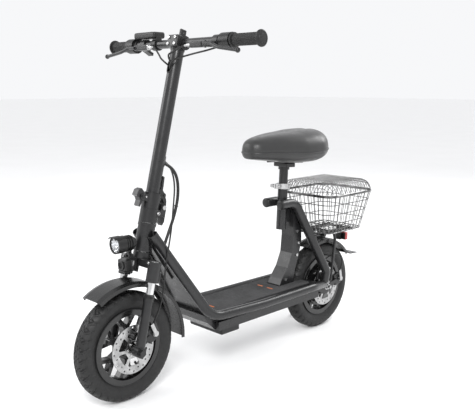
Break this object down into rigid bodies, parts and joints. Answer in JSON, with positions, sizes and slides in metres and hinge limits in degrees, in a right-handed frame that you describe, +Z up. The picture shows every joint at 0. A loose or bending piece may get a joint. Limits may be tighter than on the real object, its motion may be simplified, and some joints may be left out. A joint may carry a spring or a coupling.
{
  "type": "seated folding electric scooter",
  "caption": "Folding two-wheel electric scooter with a sprung fork, flat deck, padded saddle on a post and a lidded wire basket behind it.",
  "frame": {"origin": "on the ground, in the middle of the whole length, in the machine's middle plane", "axes": "+Z up, the front wheel towards -Y, the rider's left towards +X"},
  "size_m": [0.638, 1.2235, 1.0407],
  "materials": {
    "frame_paint": "satin charcoal-black powder coat",
    "black_alloy": "satin black cast alloy",
    "black_plastic": "fine-grained black moulding",
    "guard_plastic": "semi-matt black moulding",
    "tyre_rubber": "black tread rubber",
    "grip_rubber": "soft ribbed rubber",
    "deck_grip": "grey ribbed mat",
    "saddle_vinyl": "dark grey grained vinyl",
    "bright_chrome": "polished chrome",
    "disc_steel": "ground stainless steel",
    "bolt_steel": "zinc-plated steel",
    "silver_alloy": "satin aluminium",
    "wire_chrome": "bright plated wire",
    "clear_lens": "clear lens",
    "red_lens": "red lens",
    "cable_jacket": "smooth black cable jacket",
    "cell_wrap": "blue battery wrap",
    "red_plastic": "red button"
  },
  "bodies": {
    "frame": {"head_tube": "frame_paint", "side_rails": "frame_paint", "downtube_plates": "frame_paint", "deck_tray": "frame_paint", "deck_mat": "deck_grip", "controller_box": "black_plastic", "battery": "cell_wrap", "seat_mast": "frame_paint", "loop_tubes": "frame_paint", "dropouts": "frame_paint", "rear_rack": "frame_paint", "basket": "wire_chrome", "rear_fender": "guard_plastic", "tail_light": "red_lens", "rear_axle": "bolt_steel", "rear_caliper": "black_alloy", "frame_bolts": "bolt_steel", "seat_collar": "silver_alloy"},
    "basket_cover": {"basket_lid": "wire_chrome"},
    "rear_wheel": {"rear_tyre": "tyre_rubber", "rear_rim": "black_alloy", "rear_rotor": "disc_steel"},
    "rear_arm": {"rear_brake_arm": "bolt_steel"},
    "seat_lever": {"collar_lever": "silver_alloy"},
    "seat": {"seat_post": "black_alloy", "saddle": "saddle_vinyl"},
    "fork": {"fork_tubes": "bright_chrome", "fork_crown": "black_alloy", "front_fender": "guard_plastic", "lamp_bracket": "black_alloy", "horn": "black_plastic", "hinge_base": "black_alloy", "hinge_pin": "bolt_steel"},
    "lamp": {"lamp_shell": "black_plastic", "lamp_lens": "clear_lens"},
    "fork_legs": {"lower_legs": "black_alloy", "front_axle": "bolt_steel", "front_caliper": "black_alloy"},
    "front_wheel": {"front_tyre": "tyre_rubber", "front_rim": "black_alloy", "front_rotor": "disc_steel"},
    "front_arm": {"front_brake_arm": "bolt_steel"},
    "stem": {"stem_tube": "frame_paint", "hinge_cap": "black_alloy", "bar_clamp": "black_alloy", "handlebar": "frame_paint", "grips": "grip_rubber", "display_throttle": "black_plastic", "switch_pod": "black_plastic", "lever_perches": "black_alloy", "front_brake_cable": "cable_jacket", "rear_cables": "cable_jacket"},
    "locking_lever": {"fold_lever": "black_alloy"},
    "catch": {"safety_latch": "black_alloy"},
    "throttle": {"throttle_paddle": "black_plastic"},
    "horn_key": {"horn_button": "red_plastic"},
    "light_key": {"light_switch": "black_plastic"},
    "lever_left": {"brake_lever_left": "black_alloy"},
    "lever_right": {"brake_lever_right": "black_alloy"},
    "side_stand": {"kickstand": "black_alloy"}
  },
  "joints": [
    {"name": "steering", "type": "hinge", "parent": "frame", "child": "fork", "pos_m": [0, -0.37323, 0.46062], "axis": [0, 0.2436, 0.9699], "range_deg": [-30, 30], "deforming": ["front_brake_cable", "rear_cables"]},
    {"name": "fork_travel", "type": "slide", "parent": "fork", "child": "fork_legs", "axis": [0, 0.2436, 0.9699], "range_m": [0, 0.025], "stiffness_N_per_m": 9000, "springref_m": -0.022, "deforming": ["front_brake_cable"]},
    {"name": "front_wheel_spin", "type": "hinge", "parent": "fork_legs", "child": "front_wheel", "pos_m": [0, -0.453, 0.1585], "axis": [1, 0, 0], "continuous": true},
    {"name": "rear_wheel_spin", "type": "hinge", "parent": "frame", "child": "rear_wheel", "pos_m": [0, 0.411, 0.1585], "axis": [1, 0, 0], "continuous": true},
    {"name": "stem_fold", "type": "hinge", "parent": "fork", "child": "stem", "pos_m": [0, -0.32221, 0.5406], "axis": [-1, 0, 0], "range_deg": [0, 34], "deforming": ["front_brake_cable", "rear_cables"]},
    {"name": "locking_lever_swing", "type": "hinge", "parent": "stem", "child": "locking_lever", "pos_m": [0, -0.31296, 0.57333], "axis": [1, 0, 0], "range_deg": [0, 51]},
    {"name": "catch_swing", "type": "hinge", "parent": "stem", "child": "catch", "pos_m": [0, -0.38765, 0.57972], "axis": [-1, 0, 0], "range_deg": [0, 18], "stiffness_Nm_per_rad": 0.3, "springref_deg": -11.46},
    {"name": "brake_lever_left_pull", "type": "hinge", "parent": "stem", "child": "lever_left", "pos_m": [0.15, -0.27269, 0.99062], "axis": [0, 0, 1], "range_deg": [0, 14], "stiffness_Nm_per_rad": 2, "springref_deg": -5.73},
    {"name": "brake_lever_right_pull", "type": "hinge", "parent": "stem", "child": "lever_right", "pos_m": [-0.15, -0.27269, 0.99062], "axis": [0, 0, -1], "range_deg": [0, 14], "stiffness_Nm_per_rad": 2, "springref_deg": -5.73},
    {"name": "front_arm_pull", "type": "hinge", "parent": "fork_legs", "child": "front_arm", "pos_m": [0.054, -0.38412, 0.19062], "axis": [-1, 0, 0], "range_deg": [0, 21]},
    {"name": "rear_arm_pull", "type": "hinge", "parent": "frame", "child": "rear_arm", "pos_m": [0.054, 0.48534, 0.1743], "axis": [-1, 0, 0], "range_deg": [0, 21]},
    {"name": "throttle_press", "type": "hinge", "parent": "stem", "child": "throttle", "pos_m": [-0.195, -0.23269, 0.99962], "axis": [-1, 0, 0], "range_deg": [0, 22], "stiffness_Nm_per_rad": 0.3, "springref_deg": -11.46},
    {"name": "horn_press", "type": "slide", "parent": "stem", "child": "horn_key", "axis": [0, -1, 0], "range_m": [0, 0.0025], "stiffness_N_per_m": 400, "springref_m": -0.001},
    {"name": "light_slide", "type": "slide", "parent": "stem", "child": "light_key", "axis": [1, 0, 0], "range_m": [0, 0.004]},
    {"name": "lamp_tilt", "type": "hinge", "parent": "fork", "child": "lamp", "pos_m": [0, -0.429, 0.42], "axis": [1, 0, 0], "range_deg": [-5, 20]},
    {"name": "seat_height", "type": "slide", "parent": "frame", "child": "seat", "axis": [0, 0.0576, 0.9983], "range_m": [-0.03, 0.07]},
    {"name": "seat_lever_swing", "type": "hinge", "parent": "frame", "child": "seat_lever", "pos_m": [-0.02, 0.18663, 0.54648], "axis": [0, 0.0576, 0.9983], "range_deg": [0, 115]},
    {"name": "basket_lid_lift", "type": "hinge", "parent": "frame", "child": "basket_cover", "pos_m": [0, 0.317, 0.506], "axis": [1, 0, 0], "range_deg": [0, 48]},
    {"name": "side_stand_swing", "type": "hinge", "parent": "frame", "child": "side_stand", "pos_m": [-0.072, 0.423, 0.122], "axis": [1, 0, 0], "range_deg": [0, 80], "stiffness_Nm_per_rad": 2, "springref_deg": -85.94}
  ],
  "couplings": [
    {"joint": "locking_lever_swing", "follows": "stem_fold", "ratio": 1.5},
    {"joint": "front_arm_pull", "follows": "brake_lever_right_pull", "ratio": 1.5},
    {"joint": "rear_arm_pull", "follows": "brake_lever_left_pull", "ratio": 1.5}
  ]
}
